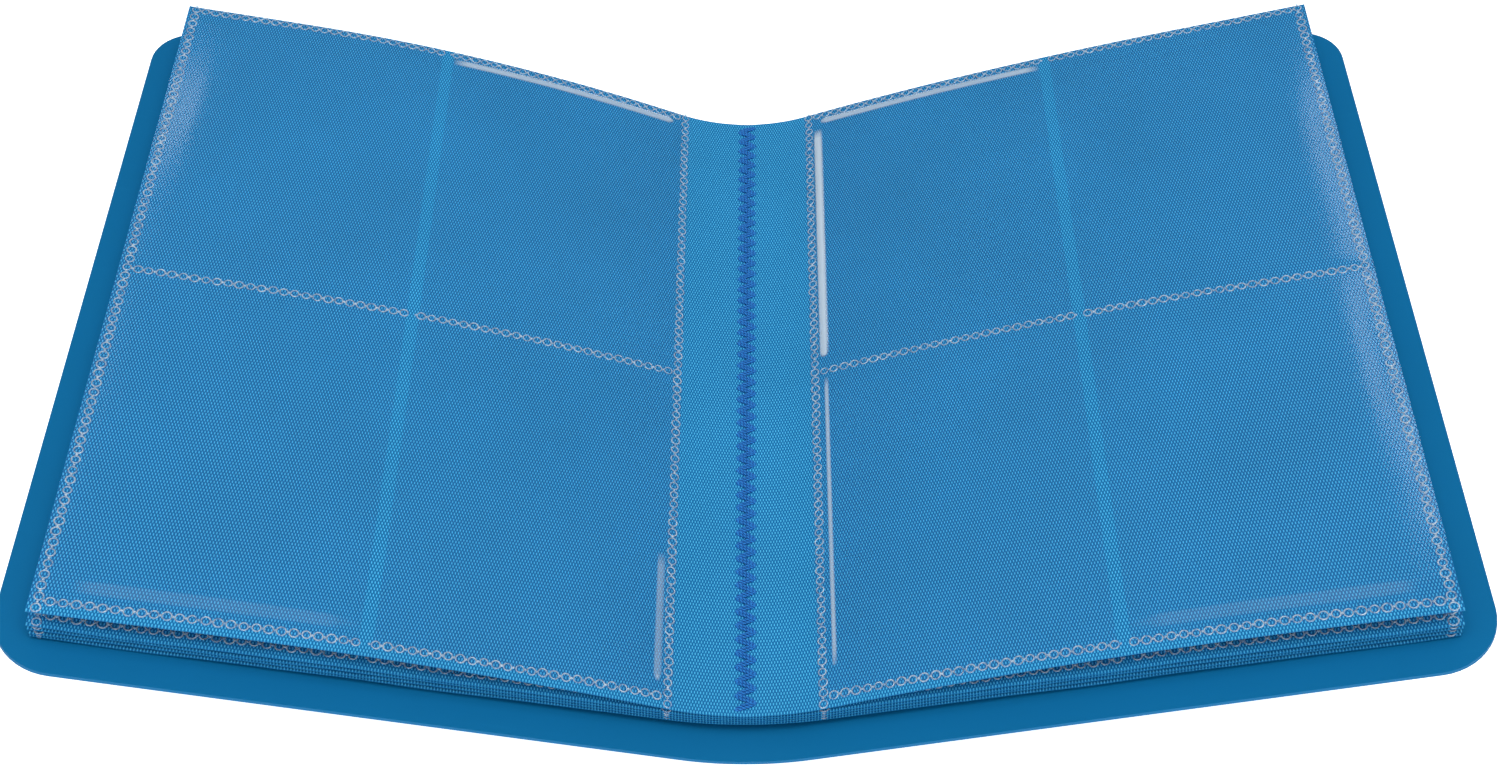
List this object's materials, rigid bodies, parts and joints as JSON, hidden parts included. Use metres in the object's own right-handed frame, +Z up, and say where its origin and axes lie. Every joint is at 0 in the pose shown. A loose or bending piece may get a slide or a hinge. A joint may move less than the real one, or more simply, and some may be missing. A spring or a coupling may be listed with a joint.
{
  "type": "trading card binder",
  "caption": "Half-open booklet binder: sewn woven leaves with clear side-loading card pockets in a flexible wrap-round cover with rounded corners.",
  "frame": {"origin": "underside of the spine panel, at the middle of its length and width, where the half-open binder stands", "axes": "+X from the spine to the back cover, +Y to the top of the pages, +Z up out of the gutter"},
  "size_m": [0.3258, 0.205, 0.0531],
  "materials": {
    "cover": "smooth matte polypropylene sheet",
    "weave": "fine woven-look sheet with a lighter dot lattice",
    "film": "clear glossy pocket film with welded edges",
    "thread": "twisted sewing thread",
    "binding": "plain woven tape"
  },
  "bodies": {
    "spine": {"spine_panel": "cover", "binding_strip": "binding", "zigzag_thread": "thread", "sheet_1_fold": "weave", "sheet_2_fold": "weave", "sheet_3_fold": "weave", "sheet_4_fold": "weave", "sheet_5_fold": "weave"},
    "front_cover": {"front_cover": "cover", "front_gutter_1": "weave", "front_gutter_2": "weave", "front_gutter_3": "weave", "front_gutter_4": "weave", "front_gutter_5": "weave"},
    "front_leaf_1": {"front_leaf_1": "weave", "front_upper_films_1": "film", "front_lower_films_1": "film"},
    "front_leaf_2": {"front_leaf_2": "weave", "front_upper_films_2": "film", "front_lower_films_2": "film"},
    "front_leaf_3": {"front_leaf_3": "weave", "front_upper_films_3": "film", "front_lower_films_3": "film"},
    "front_leaf_4": {"front_leaf_4": "weave", "front_upper_films_4": "film", "front_lower_films_4": "film"},
    "front_leaf_5": {"front_leaf_5": "weave", "front_upper_films_5": "film", "front_lower_films_5": "film"},
    "back_cover": {"back_cover": "cover", "back_gutter_1": "weave", "back_gutter_2": "weave", "back_gutter_3": "weave", "back_gutter_4": "weave", "back_gutter_5": "weave"},
    "back_leaf_1": {"back_leaf_1": "weave", "back_upper_films_1": "film", "back_lower_films_1": "film"},
    "back_leaf_2": {"back_leaf_2": "weave", "back_upper_films_2": "film", "back_lower_films_2": "film"},
    "back_leaf_3": {"back_leaf_3": "weave", "back_upper_films_3": "film", "back_lower_films_3": "film"},
    "back_leaf_4": {"back_leaf_4": "weave", "back_upper_films_4": "film", "back_lower_films_4": "film"},
    "back_leaf_5": {"back_leaf_5": "weave", "back_upper_films_5": "film", "back_lower_films_5": "film"}
  },
  "joints": [
    {"name": "front_cover_hinge", "type": "hinge", "parent": "spine", "child": "front_cover", "pos_m": [-0.0075, 0, 0.0065], "axis": [0, -1, 0], "range_deg": [-71.5, 15.5]},
    {"name": "front_leaf_1_turn", "type": "hinge", "parent": "front_leaf_2", "child": "front_leaf_1", "pos_m": [-0.0109, 0, 0.00947], "axis": [0, 1, 0], "range_deg": [0, 72]},
    {"name": "front_leaf_2_turn", "type": "hinge", "parent": "front_cover", "child": "front_leaf_2", "pos_m": [-0.01094, 0, 0.00825], "axis": [0, 1, 0], "range_deg": [0, 18]},
    {"name": "front_leaf_3_turn", "type": "hinge", "parent": "front_cover", "child": "front_leaf_3", "pos_m": [-0.01095, 0, 0.00731], "axis": [0, 1, 0], "range_deg": [0, 13.5]},
    {"name": "front_leaf_4_turn", "type": "hinge", "parent": "front_cover", "child": "front_leaf_4", "pos_m": [-0.01095, 0, 0.00637], "axis": [0, 1, 0], "range_deg": [0, 9]},
    {"name": "front_leaf_5_turn", "type": "hinge", "parent": "front_cover", "child": "front_leaf_5", "pos_m": [-0.01096, 0, 0.00543], "axis": [0, 1, 0], "range_deg": [0, 4.5]},
    {"name": "back_cover_hinge", "type": "hinge", "parent": "spine", "child": "back_cover", "pos_m": [0.0075, 0, 0.0065], "axis": [0, 1, 0], "range_deg": [-71.5, 15.5]},
    {"name": "back_leaf_1_turn", "type": "hinge", "parent": "back_leaf_2", "child": "back_leaf_1", "pos_m": [0.0109, 0, 0.00947], "axis": [0, -1, 0], "range_deg": [0, 72]},
    {"name": "back_leaf_2_turn", "type": "hinge", "parent": "back_cover", "child": "back_leaf_2", "pos_m": [0.01094, 0, 0.00825], "axis": [0, -1, 0], "range_deg": [0, 18]},
    {"name": "back_leaf_3_turn", "type": "hinge", "parent": "back_cover", "child": "back_leaf_3", "pos_m": [0.01095, 0, 0.00731], "axis": [0, -1, 0], "range_deg": [0, 13.5]},
    {"name": "back_leaf_4_turn", "type": "hinge", "parent": "back_cover", "child": "back_leaf_4", "pos_m": [0.01095, 0, 0.00637], "axis": [0, -1, 0], "range_deg": [0, 9]},
    {"name": "back_leaf_5_turn", "type": "hinge", "parent": "back_cover", "child": "back_leaf_5", "pos_m": [0.01096, 0, 0.00543], "axis": [0, -1, 0], "range_deg": [0, 4.5]}
  ],
  "couplings": [
    {"joint": "front_leaf_3_turn", "follows": "front_leaf_2_turn", "ratio": 0.75},
    {"joint": "front_leaf_4_turn", "follows": "front_leaf_2_turn", "ratio": 0.5},
    {"joint": "front_leaf_5_turn", "follows": "front_leaf_2_turn", "ratio": 0.25},
    {"joint": "back_leaf_3_turn", "follows": "back_leaf_2_turn", "ratio": 0.75},
    {"joint": "back_leaf_4_turn", "follows": "back_leaf_2_turn", "ratio": 0.5},
    {"joint": "back_leaf_5_turn", "follows": "back_leaf_2_turn", "ratio": 0.25}
  ]
}
